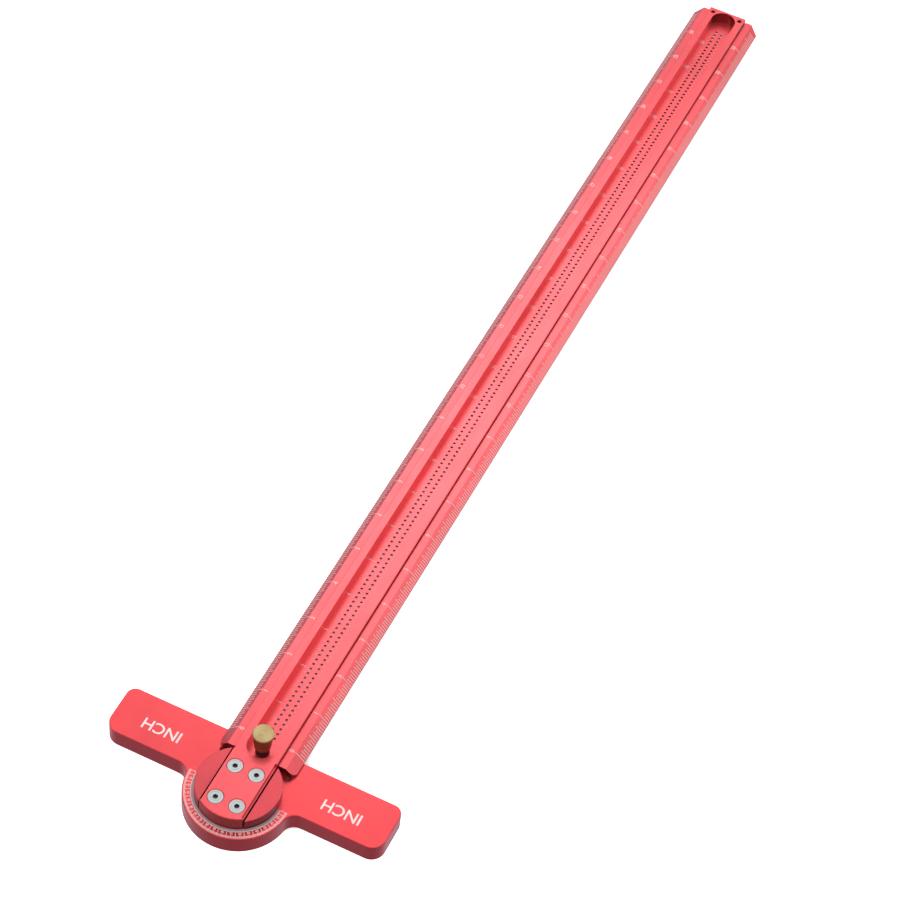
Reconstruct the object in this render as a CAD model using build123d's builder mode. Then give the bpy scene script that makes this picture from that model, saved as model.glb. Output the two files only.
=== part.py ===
from build123d import *
import os
from math import sin, cos, radians, sqrt

os.makedirs("parts", exist_ok=True)

# Adjustable-angle T-square for layout work.  Millimetres, +Z up, +Y out along the blade.
# The origin is the centre of the fence face, under the blade centreline, where the scales read zero.

# head
head_length = 152.0
head_width = 28.0
head_thick = 11.0
fence_corner = 5.0
outer_corner = 7.5
bulge_radius = 27.5
bulge_fillet = 6.5
edge_break = 0.5
head_top = head_thick / 2
head_bottom = -head_thick / 2
pivot_y = -29.5

# turntable and pivot
disc_radius = 21.5
disc_chamfer = 0.25
hub_radius = 17.5
hub_bottom = head_top - 3.8
running_fit = 0.06
gap = 0.3
ring_thick = 0.5
ring_width = 5.6
recess_floor = hub_bottom - gap - ring_thick
sector_top = head_top + 6.4
slot_half = 12.6
underside_bore_radius = 13.0
underside_bore_roof = -1.5
bush_radius = 6.0
shoulder_radius = 4.0
shoulder_fit = 0.05
bolt_thread_radius = 2.97
bolt_thread_length = 6.9
bolt_head_radius = 6.5
bolt_head_bottom = -5.2
washer_thick = 1.0
wave_thick = 0.5
washer_top = underside_bore_roof - gap
bolt_head_top = washer_top - washer_thick - wave_thick

# centre beam
blade_bottom = head_top + gap
beam_half = 11.75
beam_top = head_top + 8.65
beam_chamfer = 0.3
blade_end = 609.6
channel_half = 7.45
channel_floor = head_top + 1.5
channel_near_y = -6.0
channel_far_y = 600.6
knob_y = -4.5
lip_half = 16.2
lip_thick = 1.6
lip_end_setback = 6.0
step_width = 0.85
mark_pitch = 3.175
mark_radius = 0.8
mark_x = 1.9
end_thread_x = 8.8
end_thread_inset = 3.6
end_thread_depth = 6.5

# scale rails
rail_inner = 12.05
rail_top = head_top + 6.1
rail_bevel_x = 16.0
rail_outer = 21.0
rail_edge_top = head_top + 1.3
rail_start = -10.8
rail_near_radius = 3.5
rail_far_chamfer_x = 5.0
rail_far_chamfer_y = 2.5

# screws that hold the rails on the lips, from below
rail_screw_x = 13.9
rail_screw_ys = [12.0 + 84.0 * n for n in range(8)]
rail_screw_length = 4.0
rail_screw_head = 1.75
rail_screw_shank = 0.95

# screws that hold the beam in the turntable
clamp_x = 5.85
clamp_ys = (-22.2, -42.2)
clamp_length = 12.0
clamp_head = 4.0
clamp_shank = 1.95

# index pin, drawn parked in its raised position
index_radius = knob_y - pivot_y
index_angles = (-45, -22.5, 0, 22.5, 45)
pin_radius = 2.0
pin_fit = 0.05
pin_tip = head_top + 0.5
pin_shoulder_z = 11.3
neck_radius = 1.5
barrel_radius = 3.3
barrel_flange = 3.6
flange_thick = 0.9
barrel_seat = 2.95
barrel_top = 15.7
drag_ring_z = 13.4
drag_ring_radius = 0.35
stud_radius = 1.1
stud_base = 20.0
knob_top = 23.2
knob_radius = 5.5
knob_waist_radius = 5.1
knob_waist_z = 20.4
skirt_bottom = 12.2
skirt_wall = 0.65
grub_z = 21.5
grub_radius = 0.8


def screw_spots(x, ys):
    """Screw centres mirrored about the blade centreline."""
    return [(side * x, y) for side in (-1, 1) for y in ys]


def save(part, label):
    """Labels one finished piece and writes it to its own STEP file."""
    part.label = label
    export_step(part, "parts/" + label + ".step")


# Head: two arms, a half-round bulge round the pivot, the turntable recess and the index holes.
with BuildPart() as head_plate:
    with BuildSketch(Plane.XY.offset(head_bottom)) as outline:
        with Locations((0, -head_width / 2)):
            Rectangle(head_length, head_width)
        fillet(outline.vertices().group_by(Axis.Y)[-1], fence_corner)
        fillet(outline.vertices().group_by(Axis.Y)[0], outer_corner)
        with Locations((0, pivot_y)):
            Circle(bulge_radius)
        crotch = [v for v in outline.vertices() if abs(v.Y + head_width) < 0.01 and 20 < abs(v.X) < 40]
        fillet(crotch, bulge_fillet)
    extrude(amount=head_thick)
    fillet(head_plate.faces().sort_by(Axis.Z)[-1].outer_wire().edges(), edge_break)
    fillet(head_plate.faces().sort_by(Axis.Z)[0].outer_wire().edges(), edge_break)
    with BuildSketch(Plane.XY.offset(recess_floor)):
        with Locations((0, pivot_y)):
            Circle(hub_radius + running_fit)
    extrude(amount=head_thick, mode=Mode.SUBTRACT)
    with BuildSketch(Plane.XY.offset(head_bottom)):
        with Locations((0, pivot_y)):
            Circle(underside_bore_radius)
    extrude(amount=underside_bore_roof - head_bottom, mode=Mode.SUBTRACT)
    with BuildSketch(Plane.XY.offset(head_bottom)):
        with Locations((0, pivot_y)):
            Circle(bush_radius)
        for angle in index_angles:
            x = index_radius * sin(radians(angle))
            y = pivot_y + index_radius * cos(radians(angle))
            with Locations((x, y)):
                Circle(pin_radius + pin_fit)
    extrude(amount=head_thick, mode=Mode.SUBTRACT)
save(head_plate.part, "head_plate")

# Bronze bush pressed into the web of the head.
with BuildPart() as pivot_bush:
    with BuildSketch(Plane.XY.offset(underside_bore_roof)):
        with Locations((0, pivot_y)):
            Circle(bush_radius)
            Circle(shoulder_radius + shoulder_fit, mode=Mode.SUBTRACT)
    extrude(amount=recess_floor - underside_bore_roof)
save(pivot_bush.part, "pivot_bush")

# Slip ring lying on the floor of the turntable recess.
with BuildPart() as slip_ring:
    with BuildSketch(Plane.XY.offset(recess_floor)):
        with Locations((0, pivot_y)):
            Circle(hub_radius - 0.4)
            Circle(hub_radius - 0.4 - ring_width, mode=Mode.SUBTRACT)
    extrude(amount=ring_thick)
save(slip_ring.part, "slip_ring")

# Turntable: a hub that turns in the recess and two raised sectors either side of the beam slot.
with BuildPart() as turntable_disc:
    with BuildSketch(Plane.XY.offset(hub_bottom)):
        with Locations((0, pivot_y)):
            Circle(hub_radius)
    extrude(amount=blade_bottom - hub_bottom)
    with BuildSketch(Plane.XY.offset(blade_bottom)):
        with Locations((0, pivot_y)):
            Circle(disc_radius)
            Rectangle(2 * slot_half, 3 * disc_radius, mode=Mode.SUBTRACT)
    extrude(amount=sector_top - blade_bottom)
    sector_faces = turntable_disc.faces().filter_by(Axis.Z).group_by(Axis.Z)[-1]
    chamfer(sector_faces.edges().filter_by(GeomType.CIRCLE), disc_chamfer)
    with BuildSketch(Plane.XY.offset(hub_bottom)):
        with Locations((0, pivot_y)):
            Circle(bolt_thread_radius + 0.03)
        with Locations(*screw_spots(clamp_x, clamp_ys)):
            Circle(clamp_shank + 0.03)
    extrude(amount=blade_bottom - hub_bottom, mode=Mode.SUBTRACT)
save(turntable_disc.part, "turntable_disc")

# Centre beam: raised bar with a round-ended channel and a thin lip under each scale rail.
with BuildPart() as centre_beam:
    with BuildSketch(Plane.XY.offset(blade_bottom)):
        with BuildLine():
            near_corner_y = pivot_y - sqrt(disc_radius ** 2 - beam_half ** 2)
            near_left, near_right = (-beam_half, near_corner_y), (beam_half, near_corner_y)
            ThreePointArc(near_left, (0, pivot_y - disc_radius), near_right)
            Polyline(near_right, (beam_half, blade_end), (-beam_half, blade_end), near_left)
        make_face()
    extrude(amount=beam_top - blade_bottom)
    lip_start, lip_end = rail_start + 0.4, blade_end - lip_end_setback
    with BuildSketch(Plane.XY.offset(blade_bottom)):
        with Locations((0, (lip_start + lip_end) / 2)):
            Rectangle(2 * lip_half, lip_end - lip_start)
    extrude(amount=lip_thick)
    chamfer(centre_beam.faces().sort_by(Axis.Z)[-1].outer_wire().edges(), beam_chamfer)
    with BuildSketch(Plane.XY.offset(channel_floor)):
        with Locations((0, (channel_near_y + channel_far_y) / 2)):
            SlotCenterToCenter(channel_far_y - channel_near_y, 2 * channel_half, rotation=90)
    extrude(amount=beam_top, mode=Mode.SUBTRACT)
    # small step along the top sides where the beam lies between the turntable sectors
    with BuildSketch(Plane.XY.offset(sector_top + 0.4)):
        with Locations((-beam_half, pivot_y), (beam_half, pivot_y)):
            Rectangle(2 * step_width, 2 * (rail_start - 1.2 - pivot_y))
    extrude(amount=beam_top, mode=Mode.SUBTRACT)
    # two rows of marking holes, staggered half a step, and the seat of the index barrel
    with BuildSketch(Plane.XY.offset(blade_bottom)):
        with Locations(*[(-mark_x, mark_pitch * n) for n in range(3, 189)]):
            Circle(mark_radius)
        with Locations(*[(mark_x, mark_pitch * (n + 0.5)) for n in range(1, 188)]):
            Circle(mark_radius)
        with Locations((0, knob_y)):
            Circle(barrel_seat + 0.05)
    extrude(amount=channel_floor - blade_bottom, mode=Mode.SUBTRACT)
    # countersunk holes for the clamp screws, and the blind hole for the pivot bolt thread
    with Locations(*[(x, y, beam_top) for x, y in screw_spots(clamp_x, clamp_ys)]):
        CounterSinkHole(clamp_shank + 0.2, clamp_head + 0.4, depth=beam_top - blade_bottom, counter_sink_angle=90)
    with BuildSketch(Plane.XY.offset(blade_bottom)):
        with Locations((0, pivot_y)):
            Circle(bolt_thread_radius + 0.03)
    extrude(amount=3.2, mode=Mode.SUBTRACT)
    # threaded holes at the far end, with a small countersink
    with Locations(*[(side * end_thread_x, blade_end - end_thread_inset, beam_top) for side in (-1, 1)]):
        CounterSinkHole(1.25, 1.6, depth=end_thread_depth, counter_sink_angle=90)
    # screw holes through the lips, countersunk from below
    with BuildSketch(Plane.XY.offset(blade_bottom)):
        with Locations(*screw_spots(rail_screw_x, rail_screw_ys)):
            Circle(rail_screw_shank + 0.15)
    extrude(amount=lip_thick, mode=Mode.SUBTRACT)
    with BuildSketch(Plane.XY.offset(blade_bottom)):
        with Locations(*screw_spots(rail_screw_x, rail_screw_ys)):
            Circle(rail_screw_head + 0.3)
    extrude(amount=0.95, taper=44, mode=Mode.SUBTRACT)
save(centre_beam.part, "centre_beam")


def rail_section(side):
    """Cross-section of one scale rail, rebated to sit over the beam lip."""
    seat = blade_bottom + lip_thick
    return [(side * rail_inner, seat), (side * rail_inner, rail_top), (side * rail_bevel_x, rail_top),
            (side * rail_outer, rail_edge_top), (side * rail_outer, blade_bottom),
            (side * (lip_half + 0.1), blade_bottom), (side * (lip_half + 0.1), seat),
            (side * rail_inner, seat)]


for side, rail_name in ((-1, "left_scale_rail"), (1, "right_scale_rail")):
    outside = side * (rail_outer + 3)
    with BuildPart() as scale_rail:
        with BuildSketch(Plane.XZ.offset(-rail_start)):
            with BuildLine():
                Polyline(*rail_section(side))
            make_face()
        extrude(amount=-(blade_end - rail_start))
        # rounded near corner and chamfered far corner on the outer side
        with BuildSketch(Plane.XY.offset(blade_bottom)):
            with BuildLine():
                x, y = side * (rail_outer - rail_near_radius), rail_start + rail_near_radius
                reach = rail_near_radius * sin(radians(45))
                ThreePointArc((x, rail_start), (x + side * reach, y - reach), (side * rail_outer, y))
                Polyline((side * rail_outer, y), (outside, y), (outside, rail_start - 3), (x, rail_start - 3),
                         (x, rail_start))
            make_face()
            with BuildLine():
                chamfer_start = (side * rail_outer, blade_end - rail_far_chamfer_y)
                chamfer_end = (side * (rail_outer - rail_far_chamfer_x), blade_end)
                Polyline(chamfer_start, chamfer_end, (chamfer_end[0], blade_end + 3), (outside, blade_end + 3),
                         (outside, chamfer_start[1]), chamfer_start)
            make_face()
        extrude(amount=head_thick, mode=Mode.SUBTRACT)
        # threaded holes from below
        with BuildSketch(Plane.XY.offset(blade_bottom + lip_thick)):
            with Locations(*[(side * rail_screw_x, y) for y in rail_screw_ys]):
                Circle(rail_screw_shank + 0.03)
        extrude(amount=2.8, mode=Mode.SUBTRACT)
    save(scale_rail.part, rail_name)


def flat_head_screw(head_radius, shank_radius, length, socket_flat, socket_depth, face_groove=0.0):
    """Countersunk socket screw pointing down with its face at z = 0; the face may carry a turned groove."""
    rim = 0.25
    cone_bottom = -rim - (head_radius - shank_radius)
    with BuildPart() as screw:
        with BuildSketch(Plane.XZ):
            with BuildLine():
                Polyline((0, 0), (head_radius - rim, 0), (head_radius, -rim), (shank_radius, cone_bottom),
                         (shank_radius, -length + 0.3), (shank_radius - 0.3, -length), (0, -length), (0, 0))
            make_face()
            if face_groove:
                with Locations((head_radius * 0.66, 0)):
                    Rectangle(head_radius * 0.2, 2 * face_groove, mode=Mode.SUBTRACT)
        revolve(axis=Axis.Z)
        with BuildSketch(Plane.XY):
            RegularPolygon(socket_flat / 2, 6, major_radius=False)
        extrude(amount=-socket_depth, mode=Mode.SUBTRACT)
    return screw.part


clamp_screw = flat_head_screw(clamp_head, clamp_shank, clamp_length, 2.5, 1.6, face_groove=0.1)
clamp_screws = [clamp_screw.moved(Location((x, y, beam_top - 0.1))) for x, y in screw_spots(clamp_x, clamp_ys)]
save(Compound(children=clamp_screws), "clamp_screws")

rail_screw = flat_head_screw(rail_screw_head, rail_screw_shank, rail_screw_length, 1.3, 0.7).rotate(Axis.X, 180)
for side, screw_name in ((-1, "left_rail_screws"), (1, "right_rail_screws")):
    rail_screws = [rail_screw.moved(Location((side * rail_screw_x, y, blade_bottom + 0.05)))
                   for y in rail_screw_ys]
    save(Compound(children=rail_screws), screw_name)

# Shoulder bolt that holds the turntable down and turns in the bush.
with BuildPart() as pivot_bolt:
    thread_end = hub_bottom + bolt_thread_length
    with BuildSketch(Plane.XZ):
        with BuildLine():
            Polyline((0, bolt_head_bottom), (bolt_head_radius - 0.3, bolt_head_bottom),
                     (bolt_head_radius, bolt_head_bottom + 0.3), (bolt_head_radius, bolt_head_top),
                     (shoulder_radius, bolt_head_top), (shoulder_radius, hub_bottom),
                     (bolt_thread_radius, hub_bottom), (bolt_thread_radius, thread_end - 0.5),
                     (bolt_thread_radius - 0.5, thread_end), (0, thread_end), (0, bolt_head_bottom))
        make_face()
    revolve(axis=Axis.Z)
    with BuildSketch(Plane.XY.offset(bolt_head_bottom)):
        RegularPolygon(2.0, 6, major_radius=False)
    extrude(amount=1.9, mode=Mode.SUBTRACT)
save(pivot_bolt.part.moved(Location((0, pivot_y, 0))), "pivot_bolt")

# Wide washer and wave washer under the web of the head, both clamped on the bolt shoulder.
with BuildPart() as thrust_washer:
    with BuildSketch(Plane.XY.offset(washer_top - washer_thick)):
        with Locations((0, pivot_y)):
            Circle(underside_bore_radius - 1.5)
            Circle(shoulder_radius + 0.1, mode=Mode.SUBTRACT)
    extrude(amount=washer_thick)
save(thrust_washer.part, "thrust_washer")

with BuildPart() as wave_washer:
    with BuildSketch(Plane.XY.offset(bolt_head_top)):
        with Locations((0, pivot_y)):
            Circle(bolt_head_radius - 0.1)
            Circle(shoulder_radius + 0.15, mode=Mode.SUBTRACT)
    extrude(amount=wave_thick)
save(wave_washer.part, "wave_washer")

# Barrel that guides the index pin, standing in the near end of the channel; its step stops the raised pin.
with BuildPart() as index_barrel:
    wide_bore = pin_radius + pin_fit
    bore = neck_radius + pin_fit
    step_z = pin_shoulder_z + gap
    groove_half = drag_ring_radius + 0.15
    flange_top = channel_floor + flange_thick
    with BuildSketch(Plane.XZ):
        with BuildLine():
            Polyline((wide_bore, blade_bottom), (barrel_seat, blade_bottom), (barrel_seat, channel_floor),
                     (barrel_flange, channel_floor), (barrel_flange, flange_top - 0.2),
                     (barrel_flange - 0.2, flange_top), (barrel_radius, flange_top),
                     (barrel_radius, barrel_top - 0.3), (barrel_radius - 0.3, barrel_top), (bore, barrel_top),
                     (bore, drag_ring_z + groove_half), (bore + 0.75, drag_ring_z + groove_half),
                     (bore + 0.75, drag_ring_z - groove_half), (bore, drag_ring_z - groove_half),
                     (bore, step_z), (wide_bore, step_z), (wide_bore, blade_bottom))
        make_face()
    revolve(axis=Axis.Z)
save(index_barrel.part.moved(Location((0, knob_y, 0))), "index_barrel")

# Rubber ring in the barrel groove; its drag keeps the pin where it is put.
with BuildPart() as pin_ring:
    with BuildSketch(Plane.XZ):
        with Locations((neck_radius + pin_fit + drag_ring_radius, drag_ring_z)):
            Circle(drag_ring_radius)
    revolve(axis=Axis.Z)
save(pin_ring.part.moved(Location((0, knob_y, 0))), "pin_ring")

# Index pin, lifted clear of the head: a stout tip, a thinner neck and a stud for the knob.
with BuildPart() as index_pin:
    with BuildSketch(Plane.XZ):
        with BuildLine():
            Polyline((0, pin_tip), (pin_radius - 0.5, pin_tip), (pin_radius, pin_tip + 0.5),
                     (pin_radius, pin_shoulder_z), (neck_radius, pin_shoulder_z), (neck_radius, stud_base),
                     (stud_radius, stud_base), (stud_radius, knob_top - 0.9),
                     (0, knob_top - 0.9), (0, pin_tip))
        make_face()
    revolve(axis=Axis.Z)
save(index_pin.part.moved(Location((0, knob_y, 0))), "index_pin")

# Brass knob: a round head with slightly drawn-in sides on a cone that comes down over the barrel.
with BuildPart() as index_knob:
    socket = stud_radius + 0.03
    skirt_inner = barrel_radius + 0.25
    with BuildSketch(Plane.XZ):
        with BuildLine():
            Polyline((0, knob_top), (knob_radius - 0.35, knob_top), (knob_radius, knob_top - 0.35),
                     (knob_waist_radius, knob_waist_z), (skirt_inner + skirt_wall, skirt_bottom),
                     (skirt_inner, skirt_bottom), (skirt_inner, stud_base),
                     (socket, stud_base), (socket, knob_top - 0.87), (0, knob_top - 0.87), (0, knob_top))
        make_face()
    revolve(axis=Axis.Z)
    with BuildSketch(Plane.XZ.offset(-knob_radius - 1)):
        with Locations((0, grub_z)):
            Circle(grub_radius)
    extrude(amount=knob_radius + 1 - stud_radius, mode=Mode.SUBTRACT)
save(index_knob.part.moved(Location((0, knob_y, 0))), "index_knob")

# Grub screw that fixes the knob to the pin, on the side facing the blade.
with BuildPart() as knob_grub:
    grub_face = knob_radius - 0.6
    with BuildSketch(Plane.XZ.offset(-grub_face)):
        with Locations((0, grub_z)):
            Circle(grub_radius - 0.01)
    extrude(amount=grub_face - stud_radius - 0.02)
    with BuildSketch(Plane.XZ.offset(-grub_face)):
        with Locations((0, grub_z)):
            RegularPolygon(0.45, 6, major_radius=False)
    extrude(amount=1.0, mode=Mode.SUBTRACT)
save(knob_grub.part.moved(Location((0, knob_y, 0))), "knob_grub")
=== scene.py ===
import math
import bpy
from mathutils import Matrix, Vector


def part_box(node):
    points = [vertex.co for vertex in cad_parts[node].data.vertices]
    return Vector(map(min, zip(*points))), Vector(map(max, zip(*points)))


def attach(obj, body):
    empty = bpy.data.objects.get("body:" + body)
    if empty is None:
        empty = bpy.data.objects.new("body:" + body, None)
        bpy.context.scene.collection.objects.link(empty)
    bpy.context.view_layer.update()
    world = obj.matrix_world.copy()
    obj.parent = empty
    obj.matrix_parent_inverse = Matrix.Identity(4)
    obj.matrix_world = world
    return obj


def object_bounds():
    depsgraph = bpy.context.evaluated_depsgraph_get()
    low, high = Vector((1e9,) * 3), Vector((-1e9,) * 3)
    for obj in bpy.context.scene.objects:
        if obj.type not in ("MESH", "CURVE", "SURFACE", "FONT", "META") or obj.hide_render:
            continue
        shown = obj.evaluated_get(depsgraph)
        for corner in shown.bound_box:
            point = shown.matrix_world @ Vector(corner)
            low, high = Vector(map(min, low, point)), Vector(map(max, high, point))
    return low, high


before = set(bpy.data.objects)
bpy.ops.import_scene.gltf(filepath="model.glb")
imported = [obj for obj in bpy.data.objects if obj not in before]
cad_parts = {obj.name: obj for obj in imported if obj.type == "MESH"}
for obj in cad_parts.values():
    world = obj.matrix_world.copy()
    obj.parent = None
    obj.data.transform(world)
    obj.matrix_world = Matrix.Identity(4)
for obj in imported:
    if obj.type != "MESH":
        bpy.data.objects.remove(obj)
cad_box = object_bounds()

# Looks for an adjustable T-square: anodised metal, etched scales, a protractor, a studio and a camera.
# Everything is in metres, in the frame of the CAD model.

MM = 0.001
INCH = 0.0254
SCALE_LENGTH = 24 * INCH
SIXTEENTH = INCH / 16
MARK_HEIGHT = 0.03 * MM
MARK_SINK = 0.02 * MM
HAIR = 0.01 * MM


# ---------------------------------------------------------------- places read from the frame

def mesh_points(node):
    """The vertices of one CAD node."""
    return [vertex.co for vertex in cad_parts[node].data.vertices]


head_lo, head_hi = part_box("head_plate")
beam_lo, beam_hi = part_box("centre_beam")
disc_lo, disc_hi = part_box("turntable_disc")
rail_lo, rail_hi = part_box("right_scale_rail")
barrel_lo, barrel_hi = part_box("index_barrel")

pivot = Vector(((disc_lo.x + disc_hi.x) / 2, (disc_lo.y + disc_hi.y) / 2, head_hi.z))
disc_radius = (disc_hi.x - disc_lo.x) / 2
bulge_radius = pivot.y - head_lo.y
head_width = max(p.y for p in mesh_points("head_plate")) - min(
    p.y for p in mesh_points("head_plate") if p.x > 0.8 * head_hi.x)

rail_points = mesh_points("right_scale_rail")
flat_top = rail_hi.z
flat_inner = rail_lo.x
flat_outer = max(p.x for p in rail_points if p.z > flat_top - HAIR)
bevel_outer = rail_hi.x
bevel_low = max(p.z for p in rail_points if p.x > bevel_outer - HAIR)

# The middle stretch of the blade has nothing near its centre line but the marking holes.
MIDDLE_STRETCH = (0.1, 0.5)
HOLES_HALF = 3 * MM
hole_rims = [p for p in mesh_points("centre_beam")
             if abs(p.x) < HOLES_HALF and MIDDLE_STRETCH[0] < p.y < MIDDLE_STRETCH[1]]
floor_level = max(p.z for p in hole_rims)
hole_edge = max(p.x for p in hole_rims)
channel_half = max(p.x for p in mesh_points("centre_beam")
                   if barrel_lo.y < p.y < MIDDLE_STRETCH[0] and p.z > floor_level + MM
                   and p.x < 0.7 * flat_inner)
knob_axis = ((barrel_lo.x + barrel_hi.x) / 2, (barrel_lo.y + barrel_hi.y) / 2)
screw_lo, screw_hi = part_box("clamp_screws")
screw_radius = min(screw_hi.x - p.x for p in mesh_points("clamp_screws")
                   if p.x > 0 and p.y > screw_hi.y - HAIR)
screw_x = screw_hi.x - screw_radius
screw_y_mid = (screw_lo.y + screw_hi.y) / 2
screw_y_half = (screw_hi.y - screw_lo.y) / 2 - screw_radius


# ---------------------------------------------------------------- materials

EDGE_TURN = (0.75, 0.98)
WALL_TILT = (0.35, 0.55)
EDGE_WEAR_AND_HIGHLIGHT_WIDTH = 0.16 * MM


def even(scale):
    """The same scale for all three axes."""
    return (scale, scale, scale)


class Shader:
    """A Principled material whose colour, roughness and bump come from noise in object space."""

    def __init__(self, name, metallic, **sockets):
        self.material = bpy.data.materials.new(name)
        self.material.use_nodes = True
        self.nodes = self.material.node_tree.nodes
        self.links = self.material.node_tree.links
        self.bsdf = self.nodes["Principled BSDF"]
        self.bsdf.inputs["Metallic"].default_value = metallic
        for socket, value in sockets.items():
            self.bsdf.inputs[socket.replace("_", " ")].default_value = value
        self.place = self.nodes.new("ShaderNodeTexCoord").outputs["Object"]

    def stretched(self, scale):
        """Object coordinates multiplied by a scale for each axis."""
        mapping = self.nodes.new("ShaderNodeMapping")
        mapping.inputs["Scale"].default_value = scale
        self.links.new(self.place, mapping.inputs["Vector"])
        return mapping.outputs["Vector"]

    def noise(self, scale, detail=2.0):
        """Noise with its own scale for each axis, in cells to the metre."""
        node = self.nodes.new("ShaderNodeTexNoise")
        node.inputs["Scale"].default_value = 1.0
        node.inputs["Detail"].default_value = detail
        self.links.new(self.stretched(scale), node.inputs["Vector"])
        return node.outputs["Fac"]

    def vector_math(self, operation, first, second=None):
        """One step of vector arithmetic; second is a plain vector."""
        node = self.nodes.new("ShaderNodeVectorMath")
        node.operation = operation
        self.links.new(first, node.inputs[0])
        if second:
            node.inputs[1].default_value = second
        return node.outputs[0]

    def turned(self, axis, scale, spread=(0, 0)):
        """Fine lathe rings round a vertical axis, or round four axes spread about it."""
        place = self.vector_math("SUBTRACT", self.place, (axis[0], axis[1], 0))
        if any(spread):
            place = self.vector_math("ABSOLUTE", place)
            place = self.vector_math("SUBTRACT", place, (spread[0], spread[1], 0))
        flat = self.vector_math("MULTIPLY", place, (scale, scale, 0))
        radius = self.nodes.new("ShaderNodeVectorMath")
        radius.operation = "LENGTH"
        self.links.new(flat, radius.inputs[0])
        node = self.nodes.new("ShaderNodeTexNoise")
        node.noise_dimensions = "1D"
        node.inputs["Scale"].default_value = 1.0
        node.inputs["Detail"].default_value = 2.0
        self.links.new(radius.outputs["Value"], node.inputs["W"])
        return node.outputs["Fac"]

    def ranged(self, value, low, high, start=0.3, end=0.7):
        """Turns values from start to end into values from low to high, which may run downward."""
        node = self.nodes.new("ShaderNodeMapRange")
        node.inputs["From Min"].default_value = start
        node.inputs["From Max"].default_value = end
        node.inputs["To Min"].default_value = low
        node.inputs["To Max"].default_value = high
        self.links.new(value, node.inputs["Value"])
        return node.outputs["Result"]

    def mixed(self, value, first, second):
        """One colour or socket where value is 0, the other where it is 1."""
        node = self.nodes.new("ShaderNodeMix")
        node.data_type = "RGBA"
        colour_sockets = [s for s in node.inputs if s.type == "RGBA"]
        for source, socket in zip((first, second), colour_sockets):
            if isinstance(source, bpy.types.NodeSocket):
                self.links.new(source, socket)
            else:
                socket.default_value = (*source, 1)
        self.links.new(value, node.inputs["Factor"])
        return [s for s in node.outputs if s.type == "RGBA"][0]

    def edges(self, radius):
        """1 along sharp edges, where handling polishes the finish and a painted edge highlight is laid, and
        0 elsewhere.
        """
        bevel = self.nodes.new("ShaderNodeBevel")
        bevel.samples = 4
        bevel.inputs["Radius"].default_value = radius
        geometry = self.nodes.new("ShaderNodeNewGeometry")
        dot = self.nodes.new("ShaderNodeVectorMath")
        dot.operation = "DOT_PRODUCT"
        self.links.new(bevel.outputs["Normal"], dot.inputs[0])
        self.links.new(geometry.outputs["Normal"], dot.inputs[1])
        return self.ranged(dot.outputs["Value"], 1.0, 0.0, *EDGE_TURN)

    def walls(self):
        """1 on upright faces, 0 on level and sloping ones."""
        parts = self.nodes.new("ShaderNodeSeparateXYZ")
        self.links.new(self.nodes.new("ShaderNodeNewGeometry").outputs["Normal"], parts.inputs[0])
        upward = self.nodes.new("ShaderNodeMath")
        upward.operation = "ABSOLUTE"
        self.links.new(parts.outputs["Z"], upward.inputs[0])
        return self.ranged(upward.outputs[0], 1.0, 0.0, *WALL_TILT)

    def inside(self, axis, low, high):
        """1 between two places along an object axis, 0 outside them."""
        parts = self.nodes.new("ShaderNodeSeparateXYZ")
        self.links.new(self.place, parts.inputs[0])
        value = parts.outputs["XYZ"[axis]]
        soft = 0.05 * MM
        above = self.ranged(value, 0.0, 1.0, low - soft, low + soft)
        under = self.ranged(value, 1.0, 0.0, high - soft, high + soft)
        return self.product(above, under)

    def product(self, first, second):
        """Two masks multiplied: 1 only where both are 1."""
        node = self.nodes.new("ShaderNodeMath")
        node.operation = "MULTIPLY"
        self.links.new(first, node.inputs[0])
        self.links.new(second, node.inputs[1])
        return node.outputs[0]

    def colour(self, socket):
        """Sets the base colour."""
        self.links.new(socket, self.bsdf.inputs["Base Color"])

    def roughness(self, socket):
        """Sets the roughness."""
        self.links.new(socket, self.bsdf.inputs["Roughness"])

    def bump(self, *layers):
        """Bumps laid over each other, each a height and its depth in metres."""
        normal = None
        for height, depth in layers:
            node = self.nodes.new("ShaderNodeBump")
            node.inputs["Strength"].default_value = 1.0
            node.inputs["Distance"].default_value = depth
            self.links.new(height, node.inputs["Height"])
            if normal:
                self.links.new(normal, node.inputs["Normal"])
            normal = node.outputs["Normal"]
        self.links.new(normal, self.bsdf.inputs["Normal"])


def anodised(name, colour, edge_wear_and_highlight, roughness, grain, painted_wall_light=()):
    """Dyed anodised aluminium: satin metal under a thin clear oxide, paler along the edges: partly rubbed
    wear, partly a painted edge highlight.

    Each entry of the last argument is a box, ((axis, low, high), ...), and a factor for the colour of the
    upright
    faces inside it: below 1 they are darkened with painted shade, above 1 lightened with painted light.
    """
    shader = Shader(name, 0.80, Coat_Weight=0.7, Coat_Roughness=0.22, Coat_IOR=1.5, Specular_IOR_Level=0.4)
    dark = tuple(0.9 * c for c in colour)
    light = tuple(min(1.0, 1.08 * c) for c in colour)
    clouds = shader.mixed(shader.ranged(shader.noise(even(26), 3), 0, 1), dark, light)
    # Pale edges: partly edge wear, partly a painted edge highlight.
    wear_and_painted_light = shader.mixed(shader.edges(EDGE_WEAR_AND_HIGHLIGHT_WIDTH), clouds, edge_wear_and_highlight)
    # Painted shade and painted light on upright faces: each box's factor darkens (below 1) and lightens
    # (above 1) them.
    for box, factor in painted_wall_light:
        mask = shader.walls()
        for axis, low, high in box:
            mask = shader.product(mask, shader.inside(axis, low, high))
        wear_and_painted_light = shader.mixed(mask, wear_and_painted_light, tuple(factor * c for c in dark))
    shader.colour(wear_and_painted_light)
    shader.roughness(shader.ranged(shader.noise((160, 60, 160), 3), roughness - 0.04, roughness + 0.05))
    shader.bump((shader.noise(even(5200), 1), 0.006 * MM), (shader.noise(grain, 2), 0.004 * MM))
    return shader.material


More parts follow.
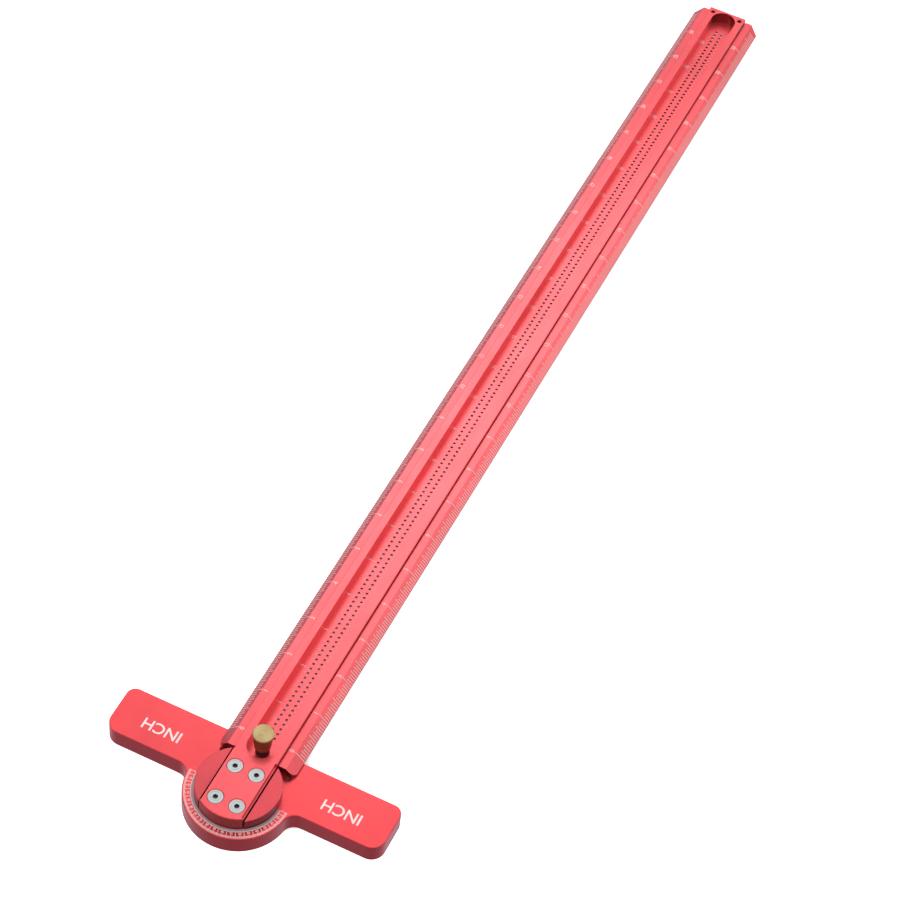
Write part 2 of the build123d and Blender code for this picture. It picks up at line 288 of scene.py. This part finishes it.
def plain_metal(name, colour, roughness, scale=1500.0):
    """Bare metal with a fine all-round grain and slight staining."""
    shader = Shader(name, 1.0)
    stained = tuple(0.82 * c for c in colour)
    shader.colour(shader.mixed(shader.ranged(shader.noise(even(400), 3), 0, 1), stained, colour))
    shader.roughness(shader.ranged(shader.noise(even(900), 2), roughness - 0.05, roughness + 0.07))
    shader.bump((shader.noise(even(scale), 2), 0.006 * MM))
    return shader.material


def turned_metal(name, colour, roughness, axis, ring_scale, anisotropy=0.0, spread=(0, 0), shade_below=None):
    """Lathe-turned metal with fine rings, its highlight drawn out across them where anisotropy is set.

    Below the given height the colour is darkened: painted shade for the inside of a socket.
    """
    shader = Shader(name, 0.85, Anisotropic=anisotropy)
    stained = tuple(0.65 * c for c in colour)
    rings = shader.turned(axis, ring_scale, spread)
    face = shader.mixed(shader.ranged(rings, 0, 1), stained, colour)
    if shade_below:
        # Painted shade in the screw sockets.
        socket_shade = shader.inside(2, 0, shade_below)
        face = shader.mixed(socket_shade, face, tuple(0.2 * c for c in colour))
    shader.colour(face)
    shader.roughness(shader.ranged(shader.noise(even(700), 2), roughness - 0.04, roughness + 0.06))
    shader.bump((rings, 0.012 * MM))
    if anisotropy:
        around = shader.vector_math("SUBTRACT", shader.place, (axis[0], axis[1], 0))
        tangent = shader.vector_math("CROSS_PRODUCT", around, (0, 0, 1))
        shader.links.new(tangent, shader.bsdf.inputs["Tangent"])
    return shader.material


def etched(name, colour, roughness=0.6):
    """Laser-etched marking: matt, a little uneven where the oxide was burnt away."""
    shader = Shader(name, 0.0, Specular_IOR_Level=0.3)
    thin = tuple(0.8 * c for c in colour)
    shader.colour(shader.mixed(shader.ranged(shader.noise(even(2600), 2), 0, 1), thin, colour))
    shader.roughness(shader.ranged(shader.noise(even(1800), 1), roughness - 0.1, roughness + 0.1))
    shader.bump((shader.noise(even(9000), 1), 0.004 * MM))
    return shader.material


def soft_plastic(name, colour, roughness):
    """Moulded plastic or rubber with a fine matt texture."""
    shader = Shader(name, 0.0)
    dark = tuple(0.8 * c for c in colour)
    shader.colour(shader.mixed(shader.ranged(shader.noise(even(900), 3), 0, 1), dark, colour))
    shader.roughness(shader.ranged(shader.noise(even(1500), 2), roughness - 0.08, roughness + 0.08))
    shader.bump((shader.noise(even(4000), 2), 0.01 * MM))
    return shader.material


ALONG_BLADE = (2600, 60, 2600)
ALONG_HEAD = (60, 2600, 2600)
ALL_ROUND = even(1800)

# Boxes whose upright faces are painted darker as painted shade, and lighter as painted light on the channel
# walls, each side as (axis, lowest, highest).
SLACK = 0.1 * MM
everywhere = ()
near_end = ((1, beam_lo.y - MM, pivot.y + 10 * MM),)
far_end = ((1, beam_hi.y - 15 * MM, beam_hi.y - MM), (0, SLACK - channel_half, beam_hi.x))
channel_walls = ((0, -channel_half - SLACK, channel_half + SLACK),
                 (1, barrel_lo.y - 10 * MM, beam_hi.y - 14 * MM), (2, floor_level, beam_hi.z))
hole_walls = ((0, -HOLES_HALF, HOLES_HALF), (2, beam_lo.z - MM, floor_level - SLACK), (1, 0, beam_hi.y))
red_head = anodised("red_anodised_head", (0.64, 0.032, 0.042), (0.68, 0.22, 0.22), 0.36, ALONG_HEAD)
# Upright-face factors: painted shade on the beam's near and far ends and in the marking holes, painted light
# on the channel walls, painted shade on every upright face of the rails and disc.
red_beam = anodised("red_anodised_beam", (0.68, 0.062, 0.074), (0.62, 0.08, 0.09), 0.34, ALONG_BLADE,
                    ((near_end, 0.45), (channel_walls, 1.6), (far_end, 0.35), (hole_walls, 0.10)))
red_rail = anodised("red_anodised_rail", (0.67, 0.058, 0.070), (0.70, 0.28, 0.28), 0.34, ALONG_BLADE,
                    ((everywhere, 0.35),))
red_disc = anodised("red_anodised_disc", (0.50, 0.029, 0.042), (0.60, 0.16, 0.17), 0.40, ALL_ROUND,
                    ((everywhere, 0.40),))
screw_axis = (0, screw_y_mid)
steel_face = plain_metal("stainless_steel", (0.42, 0.44, 0.45), 0.28)
screw_steel = turned_metal("turned_steel", (0.46, 0.485, 0.49), 0.30, screw_axis, 1900.0, 0.0,
                           (screw_x, screw_y_half), screw_hi.z - 0.5 * MM)
dark_steel = plain_metal("blackened_steel", (0.10, 0.10, 0.11), 0.38)
washer_steel = plain_metal("washer_steel", (0.58, 0.58, 0.59), 0.34)
bronze = plain_metal("sintered_bronze", (0.48, 0.29, 0.13), 0.45, 2600.0)
ground_steel = plain_metal("ground_steel", (0.66, 0.67, 0.68), 0.22)
nylon = soft_plastic("white_nylon", (0.80, 0.80, 0.77), 0.45)
rubber = soft_plastic("black_rubber", (0.02, 0.02, 0.02), 0.6)
brass = turned_metal("turned_brass", (0.42, 0.31, 0.145), 0.32, knob_axis, 2400.0, 0.7)
# The index barrel's brass is painted very dark: painted shade and a painted dark reflection under the knob.
brass_with_painted_shade = turned_metal("shade_darkened_brass", (0.13, 0.08, 0.06), 0.42, knob_axis, 3000.0)
etched_white = etched("etched_white", (0.90, 0.74, 0.73))
etched_pink = etched("etched_pink", (0.90, 0.56, 0.55))
etched_pale = etched("etched_pale", (0.78, 0.44, 0.42))
# A pale etched band painted grey: painted shade cast by the disc.
etched_band_painted_shade = etched("etched_band_painted_shade", (0.42, 0.30, 0.33), 0.5)

NODE_MATERIALS = {
    "head_plate": red_head, "centre_beam": red_beam, "turntable_disc": red_disc,
    "left_scale_rail": red_rail, "right_scale_rail": red_rail,
    "clamp_screws": screw_steel, "left_rail_screws": steel_face, "right_rail_screws": steel_face,
    "pivot_bolt": dark_steel, "knob_grub": dark_steel,
    "thrust_washer": washer_steel, "wave_washer": washer_steel,
    "pivot_bush": bronze, "slip_ring": nylon, "pin_ring": rubber,
    "index_barrel": brass_with_painted_shade, "index_knob": brass, "index_pin": ground_steel,
}
for node_name, material in NODE_MATERIALS.items():
    node_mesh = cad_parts[node_name].data
    node_mesh.materials.clear()
    node_mesh.materials.append(material)


# ---------------------------------------------------------------- etched marks as thin geometry

class Marks:
    """Thin raised marks gathered into one mesh."""

    def __init__(self):
        self.points, self.faces = [], []

    def bar(self, start, end, width, normal):
        """A straight mark from start to end, standing just proud of the surface."""
        along = (end - start).normalized()
        across = along.cross(normal) * (width / 2)
        first = len(self.points)
        for lift in (-MARK_SINK, MARK_HEIGHT):
            for corner in (start - across, end - across, end + across, start + across):
                self.points.append(corner + normal * lift)
        for face in ((3, 2, 1, 0), (4, 5, 6, 7), (0, 1, 5, 4), (1, 2, 6, 5), (2, 3, 7, 6), (3, 0, 4, 7)):
            self.faces.append([first + i for i in face])

    def text(self, words, size, matrix, weight=0.0):
        """Words in the plain built-in font, thickened by weight, centred on the matrix's origin."""
        curve = bpy.data.curves.new("words", "FONT")
        curve.body = words
        curve.size = size
        curve.align_x, curve.align_y = "CENTER", "CENTER"
        curve.extrude = (MARK_HEIGHT + MARK_SINK) / 2
        curve.resolution_u = 3
        curve.offset = weight
        holder = bpy.data.objects.new("words", curve)
        bpy.context.scene.collection.objects.link(holder)
        bpy.context.view_layer.update()
        mesh = bpy.data.meshes.new_from_object(holder)
        place = matrix @ Matrix.Translation((0, 0, (MARK_HEIGHT - MARK_SINK) / 2))
        first = len(self.points)
        self.points += [place @ vertex.co for vertex in mesh.vertices]
        self.faces += [[first + i for i in face.vertices] for face in mesh.polygons]
        bpy.data.objects.remove(holder)
        bpy.data.curves.remove(curve)
        bpy.data.meshes.remove(mesh)

    def finish(self, name, material, body):
        """Makes the object, gives it its finish and lets it ride on a body."""
        mesh = bpy.data.meshes.new(name)
        mesh.from_pydata(self.points, [], self.faces)
        mesh.materials.append(material)
        piece = bpy.data.objects.new(name, mesh)
        bpy.context.scene.collection.objects.link(piece)
        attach(piece, body)


def upright(x, y, z, angle=0.0):
    """A text plane facing up, turned by angle."""
    return Matrix.Translation((x, y, z)) @ Matrix.Rotation(angle, 4, "Z")


UP = Vector((0, 0, 1))
READ_ALONG_BLADE = math.radians(90)
DIGIT_SIZE = 3.3 * MM
DIGIT_WEIGHT = 0.07 * MM
TICK_WIDTH = 0.55 * MM
FULL, HALF, QUARTER, EIGHTH, SHORT = 1.0, 0.86, 0.76, 0.68, 0.60
TICK_START, TICK_CLEAR = 0.02, 0.01
SIXTEENTHS_LEFT_OUT = 4
INCH_TICK_LENGTH = 0.9 * MM
INCH_TICK_WIDTH = 0.28 * MM


def tick_reach(n):
    """How far the n-th sixteenth reaches up the bevel, as a share of its width."""
    for step, reach in ((16, FULL), (8, HALF), (4, QUARTER), (2, EIGHTH)):
        if n % step == 0:
            return reach
    return SHORT


def blade_scale(side, name):
    """Sixteenths of an inch up one bevel, and inch digits on the flat beside it."""
    ticks = Marks()
    outer = Vector((side * bevel_outer, 0, bevel_low))
    inner = Vector((side * flat_outer, 0, flat_top))
    slope = inner - outer
    normal = slope.cross(Vector((0, side, 0))).normalized()
    if normal.z < 0:
        normal = -normal
    last = round(SCALE_LENGTH / SIXTEENTH) - SIXTEENTHS_LEFT_OUT
    for n in range(last + 1):
        y = Vector((0, n * SIXTEENTH, 0))
        ticks.bar(outer + slope * TICK_START + y, outer + slope * (tick_reach(n) - TICK_CLEAR) + y,
                  TICK_WIDTH, normal)
        if n % 16 == 0:
            start = Vector((side * (flat_outer - 0.05 * MM), y.y, flat_top))
            ticks.bar(start, start - Vector((side * INCH_TICK_LENGTH, 0, 0)), INCH_TICK_WIDTH, UP)
    ticks.finish(name + "_scale_ticks", etched_pale, "blade")
    digits = Marks()
    middle = (flat_inner + flat_outer) / 2 - 0.2 * MM
    for inch in range(24):
        place = upright(side * middle, inch * INCH, flat_top, READ_ALONG_BLADE)
        digits.text(str(inch), DIGIT_SIZE, place, DIGIT_WEIGHT)
    digits.finish(name + "_scale_digits", etched_pink, "blade")


blade_scale(-1, "left")
blade_scale(1, "right")


FIRST_EIGHTH, END_EIGHTH = 3, 187
LINE_GAP = 0.35 * MM
LINE_WIDTH = 0.22 * MM
CHANNEL_DIGIT_SIZE = 2.9 * MM
CHANNEL_DIGIT_WEIGHT = 0.06 * MM


def channel_marks():
    """Fine lines beside the marking holes, with inch digits along the left wall."""
    lines = Marks()
    eighth = INCH / 8
    for n in range(FIRST_EIGHTH, END_EIGHTH):
        y = n * eighth
        length = (2.2 if n % 8 == 0 else 1.6 if n % 4 == 0 else 1.1) * MM
        start = Vector((-hole_edge - LINE_GAP, y, floor_level))
        lines.bar(start, start - Vector((length, 0, 0)), LINE_WIDTH, UP)
        start = Vector((hole_edge + LINE_GAP, y + eighth / 2, floor_level))
        lines.bar(start, start + Vector((1.0 * MM, 0, 0)), LINE_WIDTH, UP)
    lines.finish("channel_lines", etched_pale, "blade")
    digits = Marks()
    for inch in range(1, 24):
        place = upright(-channel_half + 1.5 * MM, inch * INCH, floor_level, READ_ALONG_BLADE)
        digits.text(str(inch), CHANNEL_DIGIT_SIZE, place, CHANNEL_DIGIT_WEIGHT)
    digits.finish("channel_digits", etched_pink, "blade")


channel_marks()


BAND_REACH = 1.5 * MM
BAND_GAP = 0.25 * MM
LINE_RING_WIDTH = 0.3 * MM
NUMBER_OFFSET = 1.25 * MM
NUMBER_SIZE = 1.6 * MM
NUMBER_WEIGHT = 0.03 * MM
FIVE_DEGREE_WIDTH = 0.26 * MM
DEGREE_WIDTH = 0.21 * MM


def protractor():
    """Degree scale round the bulge: a plain band greyed with painted shade from the disc, degree ticks and
    numbers every ten degrees.
    """
    def spot(radius, degrees):
        angle = math.radians(degrees)
        return pivot + Vector((radius * math.cos(angle), radius * math.sin(angle), 0))

    band_outer = disc_radius + BAND_REACH
    tick_inner, tick_outer = bulge_radius - 1.85 * MM, bulge_radius - 0.62 * MM

    def ring(name, inner, outer, material):
        """Half a ring round the pivot, in one-degree steps, closed at both ends."""
        marks = Marks()
        for degrees in range(-180, 0):
            first = len(marks.points)
            for lift in (-MARK_SINK, MARK_HEIGHT):
                for radius, turn in ((inner, 0), (outer, 0), (outer, 1), (inner, 1)):
                    marks.points.append(spot(radius, degrees + turn) + UP * lift)
            sides = [(3, 2, 1, 0), (4, 5, 6, 7), (1, 2, 6, 5), (3, 0, 4, 7)]
            sides += [(0, 1, 5, 4)] if degrees == -180 else [(2, 3, 7, 6)] if degrees == -1 else []
            marks.faces += [[first + i for i in face] for face in sides]
        marks.finish(name, material, "head")

    # Etched band, greyed with painted shade from the disc.
    ring("protractor_band", disc_radius + BAND_GAP, band_outer, etched_band_painted_shade)
    ring("protractor_line", band_outer, band_outer + LINE_RING_WIDTH, etched_white)
    ticks = Marks()
    for degrees in range(-180, 1):
        if degrees % 5 == 0:
            inner = band_outer + (LINE_RING_WIDTH if degrees % 10 else 2.0 * MM)
            ticks.bar(spot(tick_outer, degrees), spot(inner, degrees), FIVE_DEGREE_WIDTH, UP)
        else:
            ticks.bar(spot(tick_outer, degrees), spot(tick_inner, degrees), DEGREE_WIDTH, UP)
    ticks.finish("protractor_ticks", etched_white, "head")
    numbers = Marks()
    for degrees in range(-180, 1, 10):
        shown = 90 - abs(degrees + 90)
        at = spot(band_outer + NUMBER_OFFSET, degrees)
        place = upright(at.x, at.y, at.z, math.radians(degrees + 90))
        numbers.text(str(shown), NUMBER_SIZE, place, NUMBER_WEIGHT)
    numbers.finish("protractor_numbers", etched_white, "head")


protractor()


LETTER_SIZE = 8.8 * MM
LETTER_WEIGHT = 0.09 * MM
LETTER_SHIFT = 2 * MM


def arm_lettering():
    """The unit of the scales, lettered on each arm to be read from the blade's side."""
    words = Marks()
    letter_x = (head_hi.x + bulge_radius) / 2 - LETTER_SHIFT
    letter_y = head_hi.y - head_width / 2 - LETTER_SHIFT
    for side in (-1, 1):
        place = upright(side * letter_x, letter_y, head_hi.z, math.radians(180))
        words.text("INCH", LETTER_SIZE, place, LETTER_WEIGHT)
    words.finish("unit_lettering", etched_white, "head")


arm_lettering()


# ---------------------------------------------------------------- studio

# The camera stands above and to the right of the head and looks along the blade.
VIEW_AZIMUTH = math.radians(-20.0)
VIEW_ELEVATION = math.radians(50.33)
VIEW_ROLL = math.radians(7.2)
VIEW_DISTANCE = 1.5207
VIEW_LENS = 113.0
VIEW_TARGET = Vector((-2.39, 214.97, 5.5)) * MM

look = Vector((math.cos(VIEW_ELEVATION) * math.sin(VIEW_AZIMUTH),
               math.cos(VIEW_ELEVATION) * math.cos(VIEW_AZIMUTH), -math.sin(VIEW_ELEVATION)))
level_right = Vector((math.cos(VIEW_AZIMUTH), -math.sin(VIEW_AZIMUTH), 0))
level_up = level_right.cross(look)

FLOOR_GLOW = 0.9
FLOOR_OPEN = (0.26, 0.43)
SKY_NEAR = (0.30, 1.1)
SKY_FAR = (0.62, 1.28)
LOW_TINT = (0.95, 0.86, 1.0, 1)
NEAR_HEIGHTS, FAR_HEIGHTS = (-0.1, 0.85), (0.05, 0.9)
SIDE_CHANGE = (-0.4, 0.4)
TINT_HEIGHTS = (-0.1, 0.4)
FLOOR_HALF = 8.0
FLOOR_DROP = 0.02 * MM
SHADOW_REACH = 4


def studio_floor():
    """A plain pale floor that glows where it is open to the sky, so the shadows beside the model stay faint.

    Only the camera sees it: the model mirrors the studio and not the floor.
    """
    mesh = bpy.data.meshes.new("studio_floor")
    level = cad_box[0].z - FLOOR_DROP
    corners = [(x * FLOOR_HALF, y * FLOOR_HALF, level) for x, y in ((-1, -1), (1, -1), (1, 1), (-1, 1))]
    mesh.from_pydata(corners, [], [(0, 1, 2, 3)])
    floor = bpy.data.objects.new("studio_floor", mesh)
    bpy.context.scene.collection.objects.link(floor)
    shader = Shader("pale_floor", 0.0, Emission_Color=(1.0, 1.0, 1.0, 1.0))
    nearby = shader.nodes.new("ShaderNodeAmbientOcclusion")
    nearby.samples = 16
    nearby.inputs["Distance"].default_value = SHADOW_REACH * (beam_hi.z - cad_box[0].z)
    glow = shader.ranged(nearby.outputs["AO"], 0.0, FLOOR_GLOW, *FLOOR_OPEN)
    shader.links.new(glow, shader.bsdf.inputs["Emission Strength"])
    shader.colour(shader.mixed(shader.noise(even(14), 2), (0.92, 0.92, 0.92), (0.96, 0.96, 0.96)))
    shader.roughness(shader.ranged(shader.noise(even(60), 2), 0.85, 0.95))
    # Seen from below the floor is clear, so the underside of the model stays in view.
    behind = shader.nodes.new("ShaderNodeNewGeometry").outputs["Backfacing"]
    clear_below = shader.nodes.new("ShaderNodeMixShader")
    shader.links.new(behind, clear_below.inputs[0])
    shader.links.new(shader.bsdf.outputs[0], clear_below.inputs[1])
    shader.links.new(shader.nodes.new("ShaderNodeBsdfTransparent").outputs[0], clear_below.inputs[2])
    shader.links.new(clear_below.outputs[0], shader.nodes["Material Output"].inputs["Surface"])
    mesh.materials.append(shader.material)
    floor.visible_diffuse = False
    floor.visible_glossy = False
    floor.visible_shadow = False


def studio_sky():
    """An overhead glow that is brightest on the far side; the backdrop itself looks white."""
    world = bpy.data.worlds.new("studio_sky")
    bpy.context.scene.world = world
    world.use_nodes = True
    nodes, links = world.node_tree.nodes, world.node_tree.links
    nodes.clear()
    direction = nodes.new("ShaderNodeTexCoord").outputs["Generated"]
    height = nodes.new("ShaderNodeSeparateXYZ")
    links.new(direction, height.inputs[0])
    away = nodes.new("ShaderNodeVectorMath")
    away.operation = "DOT_PRODUCT"
    links.new(direction, away.inputs[0])
    away.inputs[1].default_value = (look.x, look.y, 0)

    def spread(value, start, end, low, high):
        """A smooth ramp from low at start to high at end."""
        node = nodes.new("ShaderNodeMapRange")
        node.interpolation_type = "SMOOTHSTEP"
        for socket, number in zip(("From Min", "From Max", "To Min", "To Max"), (start, end, low, high)):
            node.inputs[socket].default_value = number
        links.new(value, node.inputs["Value"])
        return node.outputs["Result"]

    def blend(kind, share, first, second):
        """The first value or colour where share is 0, the second where it is 1."""
        node = nodes.new("ShaderNodeMix")
        node.data_type = kind
        links.new(share, node.inputs["Factor"])
        sockets = [socket for socket in node.inputs if socket.name in ("A", "B") and socket.enabled]
        for socket, source in zip(sockets, (first, second)):
            if isinstance(source, bpy.types.NodeSocket):
                links.new(source, socket)
            else:
                socket.default_value = source
        return [socket for socket in node.outputs if socket.enabled][0]

    near_side = spread(height.outputs["Z"], *NEAR_HEIGHTS, *SKY_NEAR)
    far_side = spread(height.outputs["Z"], *FAR_HEIGHTS, *SKY_FAR)
    strength = blend("FLOAT", spread(away.outputs["Value"], *SIDE_CHANGE, 0, 1), near_side, far_side)
    tint = blend("RGBA", spread(height.outputs["Z"], *TINT_HEIGHTS, 0, 1), LOW_TINT, (1, 1, 1, 1))
    glow = nodes.new("ShaderNodeBackground")
    links.new(strength, glow.inputs["Strength"])
    links.new(tint, glow.inputs["Color"])
    backdrop = nodes.new("ShaderNodeBackground")
    backdrop.inputs["Strength"].default_value = 1.0
    mix = nodes.new("ShaderNodeMixShader")
    links.new(nodes.new("ShaderNodeLightPath").outputs["Is Camera Ray"], mix.inputs[0])
    links.new(glow.outputs[0], mix.inputs[1])
    links.new(backdrop.outputs[0], mix.inputs[2])
    links.new(mix.outputs[0], nodes.new("ShaderNodeOutputWorld").inputs[0])


studio_floor()
studio_sky()


def softbox(name, centre, toward, size, power):
    """A square area light of a size in metres and a power in watts, facing a point."""
    light = bpy.data.lights.new(name, "AREA")
    light.shape = "SQUARE"
    light.size = size
    light.energy = power
    lamp = bpy.data.objects.new(name, light)
    bpy.context.scene.collection.objects.link(lamp)
    lamp.location = centre
    lamp.rotation_mode = "QUATERNION"
    lamp.rotation_quaternion = (toward - centre).to_track_quat("-Z", "Y")
    lamp.visible_camera = False


# The key softbox stands where the level faces mirror it to the camera, and the bevel softbox where
# the right bevel does.
LIT_SHARE = 0.38
SIDE_PLACE = Vector((-1.2, -0.6, 1.4))
KEY_DISTANCE, BEVEL_DISTANCE = 1.0, 1.4
lit_spot = Vector((0, beam_hi.y * LIT_SHARE, beam_hi.z))
mirror_way = Vector((look.x, look.y, -look.z))
bevel_normal = Vector((flat_top - bevel_low, 0, bevel_outer - flat_outer)).normalized()
bevel_mirror = look - 2 * look.dot(bevel_normal) * bevel_normal
softbox("key_softbox", lit_spot + mirror_way * KEY_DISTANCE, lit_spot, 0.5, 1.8)
softbox("side_softbox", SIDE_PLACE, lit_spot, 0.8, 4.0)
softbox("bevel_softbox", lit_spot + bevel_mirror * BEVEL_DISTANCE, lit_spot, 0.8, 2.5)


def studio_camera():
    """The photograph's viewing angle as azimuth, elevation, roll and distance from a point on the blade."""
    data = bpy.data.cameras.new("studio_camera")
    data.sensor_width = 36.0
    data.lens = VIEW_LENS
    data.clip_start, data.clip_end = 0.05, 30.0
    camera = bpy.data.objects.new("studio_camera", data)
    bpy.context.scene.collection.objects.link(camera)
    right = level_right * math.cos(VIEW_ROLL) + level_up * math.sin(VIEW_ROLL)
    up = right.cross(look)
    turn = Matrix((right, up, -look)).transposed()
    camera.matrix_world = Matrix.Translation(VIEW_TARGET - look * VIEW_DISTANCE) @ turn.to_4x4()
    bpy.context.scene.camera = camera


studio_camera()
bpy.context.scene.view_settings.view_transform = "Standard"
